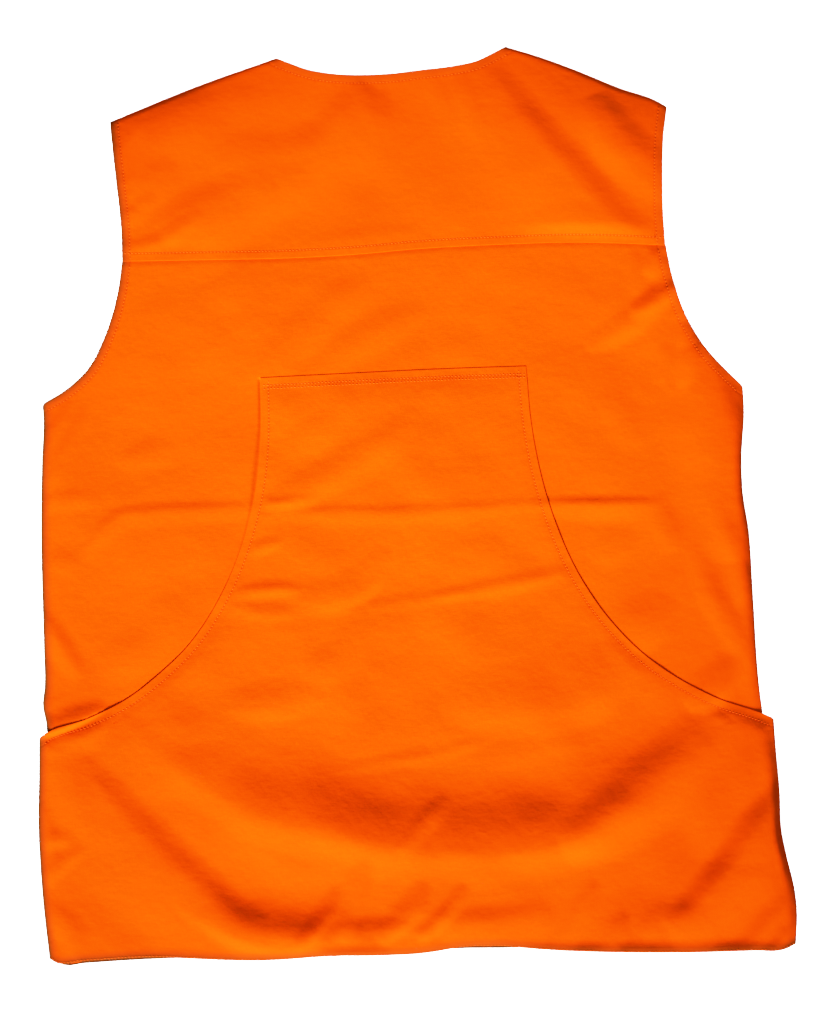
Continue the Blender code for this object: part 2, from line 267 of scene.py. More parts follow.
# Each noise has its blotches to the metre, its detail and its roughness
RIB_NOISE = (420.0, 2.0, 0.5)
SLUB_NOISE = (900.0, 3.0, 0.65)
RUMPLE_NOISE = (26.0, 3.0, 0.55)
WRINKLE_NOISE = (130.0, 2.0, 0.5)
DYE_NOISE = (9.0, 4.0, 0.6)


def weave_group():
    """Twill: steep diagonal ribs, crossed by the yarns that float over them."""
    tree, begin, end = group_tree("twill weave", ["Place", "Pitch mm"], ["Height", "Tone"])
    turned = tree.nodes.new("ShaderNodeVectorRotate")
    turned.rotation_type = "Z_AXIS"
    turned.inputs["Angle"].default_value = TWILL_ANGLE
    tree.links.new(begin.outputs["Place"], turned.inputs["Vector"])
    axes = tree.nodes.new("ShaderNodeSeparateXYZ")
    tree.links.new(turned.outputs["Vector"], axes.inputs["Vector"])
    per_metre = maths(tree, "DIVIDE", TWO_PI / MM, begin.outputs["Pitch mm"])
    wander = noise(tree, begin.outputs["Place"], *RIB_NOISE)
    wobble = maths(tree, "MULTIPLY", wander, RIB_WANDER)
    across = maths(tree, "ADD", maths(tree, "MULTIPLY", axes.outputs["X"], per_metre), wobble)
    ribs = maths(tree, "SINE", across)
    along = maths(tree, "MULTIPLY", axes.outputs["Y"], per_metre)
    finer = maths(tree, "MULTIPLY", along, FLOATS_TO_RIB)
    floats = maths(tree, "SINE", maths(tree, "ADD", finer, across))
    streaks = []
    for squeeze in ((THREAD_STREAK, 1.0, 1.0), (1.0, THREAD_STREAK, 1.0)):
        drawn = tree.nodes.new("ShaderNodeMapping")
        drawn.inputs["Scale"].default_value = squeeze
        tree.links.new(begin.outputs["Place"], drawn.inputs["Vector"])
        streaks.append(noise(tree, drawn.outputs["Vector"], *SLUB_NOISE))
    slubs = maths(tree, "MULTIPLY", maths(tree, "ADD", *streaks), 0.5)
    height = maths(tree, "MULTIPLY_ADD", ribs, RIB_HEIGHT, 0.5)
    height = maths(tree, "MULTIPLY_ADD", floats, FLOAT_HEIGHT, height)
    thick = maths(tree, "SUBTRACT", slubs, 0.5)
    height = maths(tree, "MULTIPLY_ADD", thick, SLUB_HEIGHT, height)
    tone = maths(tree, "MULTIPLY", height, 1 - SLUB_TONE)
    tone = maths(tree, "MULTIPLY_ADD", slubs, SLUB_TONE, tone)
    return group_of(tree, end, Height=height, Tone=tone)


def rumple_group():
    """Small soft rumples of worn cotton, and the patchiness of its dye."""
    tree, begin, end = group_tree("cotton rumple", ["Place"], ["Height", "Tone"])
    stretched = tree.nodes.new("ShaderNodeMapping")
    stretched.inputs["Rotation"].default_value = (0.0, 0.0, RUMPLE_TURN)
    stretched.inputs["Scale"].default_value = RUMPLE_STRETCH
    tree.links.new(begin.outputs["Place"], stretched.inputs["Vector"])
    broad = noise(tree, stretched.outputs["Vector"], *RUMPLE_NOISE)
    fine = noise(tree, begin.outputs["Place"], *WRINKLE_NOISE)
    height = maths(tree, "MULTIPLY_ADD", fine, WRINKLE_HEIGHT, broad)
    tone = noise(tree, begin.outputs["Place"], *DYE_NOISE)
    return group_of(tree, end, Height=height, Tone=tone)


ROW_IN = 6.5
HEM_ROW_IN = 1.7
STITCH_PITCH = 2.8
FURROW_WIDTH = 0.9
FURROW_DEPTH = 0.1
PUCKER_WIDTH = 3.0
PUCKER_PITCH = 2.7 * STITCH_PITCH
PUCKER_HEIGHT = 0.035
BAND_HEIGHT = 0.04


def sewn_edge_group():
    """A stitched edge, by the distance from it and along it in mm: a furrow under the stitches, small
    puckers between them, the band of doubled cloth outside, and where the stitch holes get painted
    shade."""
    tree, begin, end = group_tree("sewn edge", ["Off", "Along", "Row"], ["Height", "Band", "Hole"])
    off, along, row = (begin.outputs[name] for name in ("Off", "Along", "Row"))
    aside = maths(tree, "SUBTRACT", off, row)
    furrow = bell(tree, aside, FURROW_WIDTH)
    beat = maths(tree, "COSINE", maths(tree, "MULTIPLY", along, TWO_PI / STITCH_PITCH))
    gap = maths(tree, "POWER", maths(tree, "MULTIPLY_ADD", beat, -0.5, 0.5), 2.0)
    # the stitch holes: the furrow between the stitches, which gets painted shade
    hole_shade = maths(tree, "MULTIPLY", furrow, gap)
    slow = maths(tree, "SINE", maths(tree, "MULTIPLY", along, TWO_PI / PUCKER_PITCH))
    pucker = maths(tree, "MULTIPLY", bell(tree, aside, PUCKER_WIDTH), slow)
    pucker = maths(tree, "MULTIPLY", pucker, PUCKER_HEIGHT)
    height = maths(tree, "MULTIPLY_ADD", furrow, -FURROW_DEPTH, pucker)
    band = maths(tree, "SUBTRACT", row, off)
    band = maths(tree, "MINIMUM", maths(tree, "MAXIMUM", band, 0.0), 1.0)
    height = maths(tree, "MULTIPLY_ADD", band, BAND_HEIGHT, height)
    return group_of(tree, end, Height=height, Band=band, Hole=hole_shade)


WEAVE = weave_group()
RUMPLE = rumple_group()
SEWN_EDGE = sewn_edge_group()

DYE_DARK = (0.86, 0.051, 0.0, 1.0)
DYE_LIGHT = (0.97, 0.079, 0.0, 1.0)
BAND_DYE = (0.97, 0.088, 0.0003, 1.0)
# Painted shade: the colour of the stitch holes, and then the colour of the rims of the free edges
HOLE_SHADE_PAINT = (0.42, 0.02, 0.0, 1.0)
RIM_SHADE_PAINT = (0.05, 0.028, 0.003, 1.0)
SHEEN_TINT = (1.0, 0.35, 0.08, 1.0)

# How much the weave, the rumples, the turned band and the painted shade in the stitch holes show, as
# colour and in mm
WEAVE_TONE = 0.75
WEAVE_TONE_MIDDLE = 0.38
RUMPLE_TONE = 0.6
TONE_START = 0.2
BAND_SEEN = 0.12
HOLE_SHADE_SEEN = 0.6
WEAVE_RELIEF = 0.085
RUMPLE_RELIEF = 0.5


def new_material(name, **looks):
    """A material with plain values on its shader's own sockets; gives its nodes and shader too."""
    material = bpy.data.materials.new(name)
    material.use_nodes = True
    shader = material.node_tree.nodes["Principled BSDF"]
    for socket, value in looks.items():
        shader.inputs[socket.replace("_", " ")].default_value = value
    return material, material.node_tree, shader


def colour_and_relief(tree, shader, dye, height, depth):
    """Feeds the shader its colour, and its normal from a height whose 1 is a depth in metres."""
    tree.links.new(dye, shader.inputs["Base Color"])
    bump = tree.nodes.new("ShaderNodeBump")
    bump.inputs["Strength"].default_value = 1.0
    bump.inputs["Distance"].default_value = depth
    tree.links.new(height, bump.inputs["Height"])
    tree.links.new(bump.outputs["Normal"], shader.inputs["Normal"])


def twill_material(name, row=ROW_IN, worn=1.0, pressed=False):
    """Blaze-orange twill. row is how far in from its sewn edges the stitches lie, in mm, worn
    is how strongly its weave and rumples show, and pressed asks for a furrow by its attributes.
    How much painted shade darkens its free edges comes from a point attribute."""
    material, tree, shader = new_material(
        name, Roughness=0.82, Specular_IOR_Level=0.01,
        Sheen_Weight=0.03, Sheen_Roughness=0.45, Sheen_Tint=SHEEN_TINT,
    )
    place = tree.nodes.new("ShaderNodeTexCoord").outputs["Object"]

    def group(kind, **values):
        node = tree.nodes.new("ShaderNodeGroup")
        node.node_tree = kind
        for key, value in values.items():
            feed(tree, node.inputs[key.replace("_", " ")], value)
        return node

    def attribute(key):
        node = tree.nodes.new("ShaderNodeAttribute")
        node.attribute_name = key
        return node.outputs["Fac"]

    weave = group(WEAVE, Place=place, Pitch_mm=TWILL_PITCH)
    rumple = group(RUMPLE, Place=place)
    sewn = group(SEWN_EDGE, Off=attribute("off_edge"), Along=attribute("along_edge"), Row=row)
    start = TONE_START - WEAVE_TONE_MIDDLE * worn
    tone = maths(tree, "MULTIPLY_ADD", rumple.outputs["Tone"], RUMPLE_TONE, start)
    tone = maths(tree, "MULTIPLY_ADD", weave.outputs["Tone"], WEAVE_TONE * worn, tone)
    dye = mixed(tree, tone, DYE_DARK, DYE_LIGHT)
    dye = mixed(tree, maths(tree, "MULTIPLY", sewn.outputs["Band"], BAND_SEEN), dye, BAND_DYE)
    # painted shade in the stitch holes
    dye = mixed(tree, maths(tree, "MULTIPLY", sewn.outputs["Hole"], HOLE_SHADE_SEEN), dye, HOLE_SHADE_PAINT)
    # painted shade along the free edges
    dye = mixed(tree, attribute("rim"), dye, RIM_SHADE_PAINT)
    relief = sewn.outputs["Height"]
    for part, deep in ((weave, WEAVE_RELIEF), (rumple, RUMPLE_RELIEF)):
        relief = maths(tree, "MULTIPLY_ADD", part.outputs["Height"], deep * worn, relief)
    if pressed:
        dent = bell(tree, attribute("off_furrow"), attribute("furrow_width"))
        dent = maths(tree, "MULTIPLY", dent, attribute("furrow_depth"))
        relief = maths(tree, "SUBTRACT", relief, dent)
    colour_and_relief(tree, shader, dye, relief, MM)
    return material


FAR_OFF = 1e9


def from_line(line, x, y):
    """Distance of points from a line, the side they lie on (+1 is left) and how far along it."""
    best = np.full(x.shape, FAR_OFF)
    side, along = np.ones(x.shape), np.zeros(x.shape)
    starts = lengths_along(line)
    for k in range(len(line) - 1):
        (ax, ay), (bx, by) = line[k], line[k + 1]
        dx, dy = bx - ax, by - ay
        span = math.hypot(dx, dy)
        t = np.clip(((x - ax) * dx + (y - ay) * dy) / span**2, 0, 1)
        ox, oy = x - ax - t * dx, y - ay - t * dy
        off = np.hypot(ox, oy)
        nearer = off < best
        best[nearer] = off[nearer]
        side[nearer] = np.where(dx * oy - dy * ox >= 0, 1.0, -1.0)[nearer]
        along[nearer] = starts[k] + (t * span)[nearer]
    return best, side, along


def off(line, x, y):
    return from_line(line, x, y)[0]


def reach(distance, width):
    """0 on an edge, rising smoothly to 1 at a width in from it."""
    t = np.clip(distance / width, 0, 1)
    return t * t * (3 - 2 * t)


# Painted shade along free edges: how far in it reaches, in mm, and its share right on a hem
RIM_SHADE_REACH = 8.0
HEM_SHADE_PAINTED = 0.95


def mark(piece, **marks):
    """Keeps named values on a piece, one for each of its points."""
    for name, values in marks.items():
        piece.data.attributes.new(name, "FLOAT", "POINT").data.foreach_set("value", values)


def mark_sewn_edges(piece, x, y, lines):
    """Keeps each point's distance from the nearest sewn edge, and along it, in mm."""
    best, along = np.full(x.shape, FAR_OFF), np.zeros(x.shape)
    for line in lines:
        distance, _, reached = from_line(line, x, y)
        nearer = distance < best
        best[nearer], along[nearer] = distance[nearer], reached[nearer]
    mark(piece, off_edge=best, along_edge=along)


def mark_painted_edge_shade(piece, x, y, edges):
    """Keeps how much painted shade darkens each point near the free edges. edges has each free edge
    and the share of painted shade right on it.
    """
    rim = np.zeros(x.shape)
    for line, share in edges:
        rim = np.maximum(rim, share * np.clip(1 - off(line, x, y) / RIM_SHADE_REACH, 0, 1))
    mark(piece, rim=rim)


def moved(line, across, up):
    return line + np.array([across, up])


def declare_cloth(piece, node):
    """Hangs a laid sheet of the gilet on the root, and hides the imported part that it stands for."""
    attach(piece, "root")
    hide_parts(node)


STITCH_LENGTH = 1.95
STITCH_THICK = 0.6
STITCH_SUNK = 0.25
STITCH_BEND = 0.25
STITCH_STRAY = 0.07
STITCH_BLUNT = 0.7
ROW_END = 1.5
THREAD_SIDES = 8
THREAD_RINGS = 6
THREAD_DARK = (0.85, 0.065, 0.0, 1.0)
THREAD_LIGHT = (0.97, 0.12, 0.001, 1.0)
FIBRE_NOISE = (1800.0, 3.0, 0.5)
FIBRE_DEPTH = 0.1


def thread_material():
    """Spun thread of nearly the same orange, a little brighter than the twill."""
    material, tree, shader = new_material("orange_thread", Roughness=0.8, Specular_IOR_Level=0.08)
    place = tree.nodes.new("ShaderNodeTexCoord").outputs["Object"]
    fibres = noise(tree, place, *FIBRE_NOISE)
    dye = mixed(tree, fibres, THREAD_DARK, THREAD_LIGHT)
    colour_and_relief(tree, shader, dye, fibres, FIBRE_DEPTH * MM)
    return material


THREAD = thread_material()


def beside(line, distance):
    """The line moved to its left, or to its right if the distance is negative."""
    along = np.gradient(line, axis=0)
    along /= np.linalg.norm(along, axis=1)[:, None]
    return line + distance * np.stack([-along[:, 1], along[:, 0]], axis=1)


def topstitch(name, rows, height, seed):
    """Stitches end to end along some rows, each a short bent capsule lying on the cloth."""
    bm = bmesh.new()
    bmesh.ops.create_uvsphere(bm, u_segments=THREAD_SIDES, v_segments=THREAD_RINGS, radius=0.5)
    form = np.array([v.co for v in bm.verts])[:, [2, 0, 1]]
    faces = [[v.index for v in face.verts] for face in bm.faces]
    bm.free()
    lengthwise = np.sign(form[:, 0]) * np.abs(2 * form[:, 0]) ** STITCH_BLUNT / 2
    bent = form[:, 2] * STITCH_THICK - STITCH_BEND * (2 * lengthwise) ** 2
    draw = np.random.default_rng(seed)
    ends = []
    for sewn_edge, inset in rows:
        line, reached = beside(sewn_edge, inset), lengths_along(sewn_edge)
        middles = np.arange(STITCH_PITCH, reached[-1] - ROW_END, STITCH_PITCH)
        for step in (-0.5, 0.5):
            at = middles + step * STITCH_LENGTH
            spot = np.stack([np.interp(at, reached, line[:, k]) for k in (0, 1)], axis=1)
            ends.append(spot + draw.normal(0.0, STITCH_STRAY, spot.shape))
    first, last = np.vstack(ends[0::2]), np.vstack(ends[1::2])
    first, last = (np.column_stack([p, height(*p.T)]) for p in (first, last))
    along = last - first
    span = np.linalg.norm(along, axis=1)[:, None]
    along /= span
    side = np.stack([-along[:, 1], along[:, 0], np.zeros(len(along))], axis=1)
    side /= np.linalg.norm(side, axis=1)[:, None]
    up = np.cross(along, side)
    centre = (first + last) / 2 + (STITCH_THICK / 2 - STITCH_SUNK) * up
    points = (
        centre[:, None]
        + (span * lengthwise)[:, :, None] * along[:, None]
        + (form[:, 1] * STITCH_THICK)[None, :, None] * side[:, None]
        + bent[None, :, None] * up[:, None]
    )
    corners = [[k + len(form) * n for k in face] for n in range(len(centre)) for face in faces]
    mesh = bpy.data.meshes.new(name)
    mesh.from_pydata((points.reshape(-1, 3) * MM).tolist(), [], corners)
    mesh.shade_smooth()
    mesh.materials.append(THREAD)
    piece = in_scene(name, mesh)
    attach(piece, "root")
    return piece


SHOULDERS = (
    edge("left tip", "left shoulder", "left neck"),
    edge("right neck", "right shoulder", "right tip"),
)


def front_height(x, y):
    return np.full(x.shape, TWILL)


def front(side, inwards):
    """One front: its hem, side, armhole, shoulder and its half of the neck."""
    shift = 0.5 * LAYER_GAP * inwards
    hem, neck = (moved(CORNER[end], -shift, 0.0) for end in ("centre hem", "centre neck"))
    corner = f"{side} front hem"
    outer = moved(edge(corner, f"{side} side", f"{side} pit"), ROLLED_IN * inwards, 0.0)
    armhole = moved(edge(f"{side} pit", f"{side} front armhole", f"{side} tip"),
                    ROLLED_IN * inwards, -ROLLED_IN)
    armhole[0] = outer[-1]
    shoulder = moved(SHOULDERS[0 if side == "left" else 1], 0.0, -ROLLED_IN)
    neck_side = edge(neck, f"{side} front neck", f"{side} neck")
    middle = run((np.array([hem, neck]), FRONT_NECK_SHARE), (neck_side, 1.0))
    outside = run((outer, FRONT_PIT_SHARE), (armhole, 1.0))
    low_ends = (corner, hem) if side == "left" else (hem, corner)
    bottom = edge(low_ends[0], f"{side} front hem", low_ends[1])
    edges = (outside, middle) if side == "left" else (middle, outside)
    sheet = laid_between(run((bottom, 1.0)), run((shoulder, 1.0)), *edges)
    piece, x, y = cloth_sheet(f"front_{side}_cloth", sheet, FRONT_CELLS, front_height)
    mark_sewn_edges(piece, x, y, [bottom])
    # the sliver of front hem that shows gets painted shade
    mark_painted_edge_shade(piece, x, y, [(bottom, HEM_SHADE_PAINTED)])
    piece.data.materials.append(twill_material(f"front_{side}_twill", row=HEM_ROW_IN))
    stitches = topstitch(f"topstitch_front_{side}", [(bottom, HEM_ROW_IN)], front_height, seed=5)
    declare_cloth(piece, f"front_{side}")


for side, inwards in (("left", 1.0), ("right", -1.0)):
    front(side, inwards)

# The back body: one panel of twill from the yoke seam to the hem, faced at both armholes.
# It lies on the fronts with a little air between them, and rolls round them at the sides.

CORNER.update({
    "left seam": (-241.3, 199.5),
    "right seam": (202.3, 212.7),
    "left body hem": (-293.0, -368.5),
    "right body hem": (302.3, -356.6),
    "left pocket top": (-128.6, 104.8),
    "left pocket side": (-310.0, -190.6),
})
EDGE.update({
    "neckline": ((-104.4, 362.0), (-91.5, 357.2), (-72.0, 353.5), (-30.0, 352.9), (2.2, 356.4),
                 (32.0, 360.2), (48.5, 364.0), (60.5, 369.8)),
    "yoke seam": ((-178.2, 200.8), (-96.2, 202.8), (-47.0, 205.7), (2.2, 210.2), (67.8, 213.5),
                  (117.0, 215.1), (166.2, 214.3)),
    "left body armhole": ((-289.0, 93.8), (-270.0, 111.0), (-254.5, 141.0), (-245.0, 174.0)),
    "right body armhole": ((253.9, 109.3), (236.7, 127.4), (219.0, 156.0), (207.2, 190.0)),
    "left hand opening": ((-303.6, -185.9), (-270.5, -174.4), (-236.7, -157.2), (-210.5, -136.7),
                          (-187.2, -113.7), (-164.2, -79.3), (-140.2, -20.2), (-129.8, 33.1),
                          (-128.2, 60.0)),
    "pocket hem": ((-295.5, -374.6), (-275.8, -373.2), (-235.6, -370.4), (-112.6, -371.6),
                   (-79.8, -368.7), (10.4, -365.2), (37.0, -360.8), (67.8, -360.1),
                   (100.6, -362.8), (215.4, -365.4), (272.8, -363.8), (303.0, -362.2)),
})

BACK_LOW = 1.7
CROWN = 2.6
SIDE_ROLLS = (30.0, 34.0)
SHOULDER_ROLL = 58.0
SHOULDER_CROWN = 5.0
SHOULDER_CROWN_REACH = 220.0
NECK_CROWN_SHARE = 0.15
NECK_MIDDLE = -22.0
NECK_HALF = 94.0
OUT_FROM_NECK = 105.0
NECK_DROP = 0.6
NECK_ROLL = 40.0
WRAPS = (4.0, 7.5)
FLOOR_LIE = 0.1
AIR_UNDER = 0.3
EDGE_RIPPLE = 0.3
SEAM_GROOVE = 0.46
GROOVE_WIDTH = 1.8
BODY_SEAM_FLAT = 8.0
# Shares of painted shade right on the left and right sides, and on the left and right armholes
SIDES_SHADE_PAINTED = (1.0, 0.2)
ARMHOLES_SHADE_PAINTED = (0.88, 0.4)
UNDER_YOKE = 1.1
EDGE_ROUND = 0.05
EDGE_ROUND_WIDTH = 0.8
PIT_SHARE = 0.79
BODY_CELLS = (226, 216)
HIDDEN_HEM_SHARE = 0.975
HIDDEN_HEM_RAISE = 1.5
OPENING_FURROW = 0.9
OPENING_STEEP = 0.9
OPENING_GAP = 1.7
GAP_AT = 32.0
GAP_LENGTH = 24.0
GAP_REACH = 90.0
FURROW_SLOPE = 0.8
PRESSED_END = 2.5

# Each crease has how far its slopes reach to the left and right of the way it runs, its height
# (below 0 for a trough), how sharp its crest is from 0 to 1, and then the points it runs through
BODY_CREASES = (
    (12, 16, 1.9, 0.3, (209, 180), (197, 166), (183, 154), (160, 139), (138, 129)),
    (10, 10, 1.6, 0.1, (192, 214), (193, 203), (188, 186)),
    (10, 14, 2.4, 0.2, (219, 183), (204, 175), (188, 163), (173, 157)),
    (8, 9, 1.0, 0.1, (204, 203), (201, 191), (195, 179)),
    (13, 12, 0.8, 0.0, (176, 208), (180, 191), (176, 170)),
    (10, 14, 2.6, 0.1, (220, 150), (224, 127), (217, 96)),
    (12, 12, 0.8, 0.0, (206, 132), (202, 116), (197, 98)),
    (18, 18, 0.8, 0.0, (155, 96), (166, 73), (181, 47)),
    (34, 34, 0.8, 0.0, (101, 168), (150, 159), (187, 168)),
    (32, 32, 1.0, 0.0, (101, 119), (142, 99), (153, 67)),
    (18, 20, 0.7, 0.0, (-173, 168), (-152, 178), (-132, 190)),
    (28, 30, 0.9, 0.0, (-237, 145), (-203, 152), (-162, 167)),
    (26, 28, 0.7, 0.0, (-227, 109), (-186, 126), (-156, 146)),
    (20, 22, 1.2, 0.1, (-136, 103), (-108, 126), (-72, 163), (-39, 182)),
    (18, 18, 1.1, 0.1, (-85, 108), (-54, 131), (-26, 144), (7, 162)),
    (20, 18, 0.6, 0.0, (10, 142), (31, 128), (48, 144)),
    (9, 10, 1.4, 0.3, (-306, 14), (-301, 52), (-283, 86)),
    (9, 11, 1.2, 0.2, (-303, -9), (-292, 34), (-273, 83)),
    (13, 13, 0.6, 0.0, (-273, 1), (-267, 37), (-255, 70)),
    (13, 15, 0.9, 0.0, (-244, 32), (-223, 41), (-196, 45)),
    (7, 14, 1.2, 0.3, (-288, -45), (-268, -33), (-257, -19), (-245, -9), (-219, -5), (-178, -3),
     (-127, 0)),
    (11, 10, 0.8, 0.2, (-308, 0), (-291, 4), (-254, 3)),
    (6, 16, 1.5, 0.5, (89, 1), (107, 2), (133, 2), (166, 2), (191, 3), (206, 8)),
    (12, 13, 0.8, 0.0, (195, 4), (201, -12), (210, -38)),
    (22, 18, 0.9, 0.0, (138, -37), (160, -35), (176, -19)),
    (14, 14, 1.7, 0.2, (225, -30), (238, -69), (253, -97), (268, -130)),
    (12, 14, 1.4, 0.1, (242, 4), (250, -20), (260, -38), (266, -78)),
    (9, 10, 1.0, 0.0, (261, -38), (266, -61), (265, -84)),
    (30, 20, 1.6, 0.0, (150, -117), (171, -110), (191, -97), (206, -73)),
    (24, 14, 2.6, 0.0, (220, -165), (243, -153), (263, -124)),
    (12, 14, 2.4, 0.3, (-311, -86), (-296, -109), (-275, -142)),
    (15, 5, 3.4, 0.2, (-326, -194), (-301, -185), (-280, -177), (-254, -165)),
    (26, 24, 1.5, 0.0, (-262, -135), (-219, -115), (-196, -74)),
    (12, 12, 0.8, 0.0, (-304, -51), (-293, -46), (-273, -55)),
    (28, 28, 0.8, 0.0, (-244, -46), (-203, -34), (-154, -35)),
    (24, 50, 6.2, 0.0, (227, 132), (242, 96), (253, 54), (260, 4), (266, -45)),
    (14, 22, 2.2, 0.1, (263, -12), (270, -78), (278, -163)),
)
CREST_BLUNT = 0.1
CREST_SLOPE = 1.6
CREASE_END_WIDTH = 0.45

# Each set of ripples has its seed, its shortest and longest wave and its height
CREASE_RIPPLES = (31, 110.0, 260.0, 0.12)
BROAD_RIPPLES = (11, 90.0, 260.0, 0.55)
SMALL_RIPPLES = (12, 28.0, 80.0, 0.16)
RIPPLE_WAVES = 26


def creased(creases, x, y):
    """Height of all the creases at some points. Each one narrows and sinks towards its ends."""
    total = np.zeros(x.shape)
    for left, right, height, sharp, *path in creases:
        line = smooth_line(path)
        widest = max(left, right)
        low, high = line.min(0) - widest, line.max(0) + widest
        here = (x > low[0]) & (x < high[0]) & (y > low[1]) & (y < high[1])
        distance, side, along = from_line(line, x[here], y[here])
        share = along / lengths_along(line)[-1]
        taper = np.sin(math.pi * np.clip(share, 0.0, 1.0))
        narrowed = CREASE_END_WIDTH + (1 - CREASE_END_WIDTH) * taper**0.5
        width = np.where(side > 0, left, right) * narrowed
        blunt = CREST_BLUNT * width
        t = np.clip((np.hypot(distance, blunt) - blunt) / width, 0, 1)
        soft = np.cos(0.5 * math.pi * t) ** 2
        form = soft + sharp * ((1 - t) ** CREST_SLOPE - soft)
        total[here] += height * taper**0.8 * form
    return total * (1 + rippled(x, y, *CREASE_RIPPLES))


def rippled(x, y, seed, shortest, longest, height):
    """Faint unevenness of cloth at rest: many long waves in different directions."""
    draw = np.random.default_rng(seed)
    total = np.zeros(x.shape)
    for _ in range(RIPPLE_WAVES):
        length = shortest * (longest / shortest) ** draw.random()
        angle, phase = draw.random(2) * TWO_PI
        total += length * np.sin(TWO_PI * (x * math.cos(angle) + y * math.sin(angle)) / length + phase)
    return total * height / (0.5 * (shortest + longest)) / math.sqrt(RIPPLE_WAVES / 2)


LEFT_SIDE = edge("left body hem", "left side", "left pit")
RIGHT_SIDE = edge("right body hem", "right side", "right pit")
YOKE_SEAM = edge("left seam", "yoke seam", "right seam")
NECKLINE = edge("left neck", "neckline", "right neck")
LEFT_OPENING = edge("left pocket side", "left hand opening", "left pocket top")
BODY_ARMHOLES = (
    edge("left pit", "left body armhole", "left seam"),
    edge("right pit", "right body armhole", "right seam"),
)


def off_nearest(lines, x, y):
    return np.minimum.reduce([off(line, x, y) for line in lines])


def raised(distance, width):
    """0 on an edge, rising steeply at first and level at a width in from it."""
    return 1 - (1 - np.clip(distance / width, 0, 1)) ** 2


def rolled_down(z, distance, low, width):
    """Turns the cloth down in a quarter round at an edge where it wraps what is under it."""
    t = np.clip(distance / width, 0, 1)
    return low + (z - low) * np.sqrt(1 - (1 - t) ** 2)


def rounded(distance):
    """How far a turned edge falls away over its last millimetre."""
    return EDGE_ROUND * (1 - np.clip(distance / EDGE_ROUND_WIDTH, 0, 1)) ** 2


def back_lie(x, y, sides=(LEFT_SIDE, RIGHT_SIDE)):
    """Upper face of the back without creases, body and yoke alike, over the fronts."""
    lift = raised(off(sides[0], x, y), SIDE_ROLLS[0]) * raised(off(sides[1], x, y), SIDE_ROLLS[1])
    shoulder = off_nearest(SHOULDERS, x, y)
    out = reach(np.abs(x - NECK_MIDDLE) - NECK_HALF, OUT_FROM_NECK)
    lift *= raised(shoulder, SHOULDER_ROLL)
    crown = SHOULDER_CROWN * (1 - reach(shoulder, SHOULDER_CROWN_REACH))
    crown = CROWN + crown * (NECK_CROWN_SHARE + (1 - NECK_CROWN_SHARE) * out)
    neck = 1 - reach(off(NECKLINE, x, y), NECK_ROLL)
    air = rippled(x, y, *BROAD_RIPPLES) + rippled(x, y, *SMALL_RIPPLES) + AIR_UNDER
    air *= EDGE_RIPPLE + (1 - EDGE_RIPPLE) * lift
    return BACK_LOW + crown * lift - NECK_DROP * neck * lift + air


def body_height(x, y):
    distance, side, _ = from_line(YOKE_SEAM, x, y)
    above_seam = distance * side
    groove = SEAM_GROOVE * reach(above_seam + GROOVE_WIDTH, GROOVE_WIDTH)
    folds = creased(BODY_CREASES, x, y) * reach(np.clip(-above_seam, 0, None), BODY_SEAM_FLAT)
    z = back_lie(x, y) - groove + folds
    z -= rounded(off_nearest(BODY_ARMHOLES, x, y))
    for side, width in zip((LEFT_SIDE, RIGHT_SIDE), WRAPS):
        z = rolled_down(z, off(side, x, y), TWILL + FLOOR_LIE, width)
    return z


def back_body():
    hem_points = [(x * HIDDEN_HEM_SHARE, y + HIDDEN_HEM_RAISE) for x, y in EDGE["pocket hem"]]
    hem = smooth_line([CORNER["left body hem"], *hem_points, CORNER["right body hem"]])
    top = moved(YOKE_SEAM, 0.0, UNDER_YOKE)
    left_arm = edge("left pit", "left body armhole", top[0])
    right_arm = edge("right pit", "right body armhole", top[-1])
    sheet = laid_between(
        run((hem, 1.0)), run((top, 1.0)),
        run((LEFT_SIDE, PIT_SHARE), (left_arm, 1.0)),
        run((RIGHT_SIDE, PIT_SHARE), (right_arm, 1.0)),
    )
    piece, x, y = cloth_sheet("back_body_cloth", sheet, BODY_CELLS, body_height)
    mark_sewn_edges(piece, x, y, [left_arm, right_arm])
    # painted shade along the sides and armholes
    sides = zip((LEFT_SIDE, RIGHT_SIDE), SIDES_SHADE_PAINTED)
    mark_painted_edge_shade(piece, x, y, [*sides, *zip((left_arm, right_arm), ARMHOLES_SHADE_PAINTED)])
    beyond = LEFT_OPENING[-1] + np.array([0.0, 2 * PRESSED_END])
    from_pocket, side, _ = from_line(np.vstack([LEFT_OPENING, [beyond]]), x, y)
    gap = np.exp(-(((y - GAP_AT) / GAP_LENGTH) ** 2))
    width = OPENING_FURROW + OPENING_GAP * gap
    width += OPENING_STEEP * reach(y - GAP_AT + GAP_REACH, GAP_REACH)
    depth = FURROW_SLOPE * width * reach(LEFT_OPENING[-1][1] - y, PRESSED_END)
    mark(piece, off_furrow=from_pocket * side, furrow_width=width, furrow_depth=depth)
    piece.data.materials.append(twill_material("back_body_twill", worn=1.2, pressed=True))
    rows = [(BODY_ARMHOLES[0], -ROW_IN), (BODY_ARMHOLES[1], ROW_IN)]
    stitches = topstitch("topstitch_body", rows, body_height, seed=6)
    declare_cloth(piece, "back_body")


back_body()

# The back yoke: one panel across the shoulders, faced at the neck and armholes. Its lower
# edge is turned under and topstitched over the top of the back body.

EDGE.update({
    "left yoke armhole": ((-242.1, 225.8), (-246.2, 265.0)),
    "right yoke armhole": ((200.6, 235.0), (199.7, 270.0), (200.8, 302.0)),
})

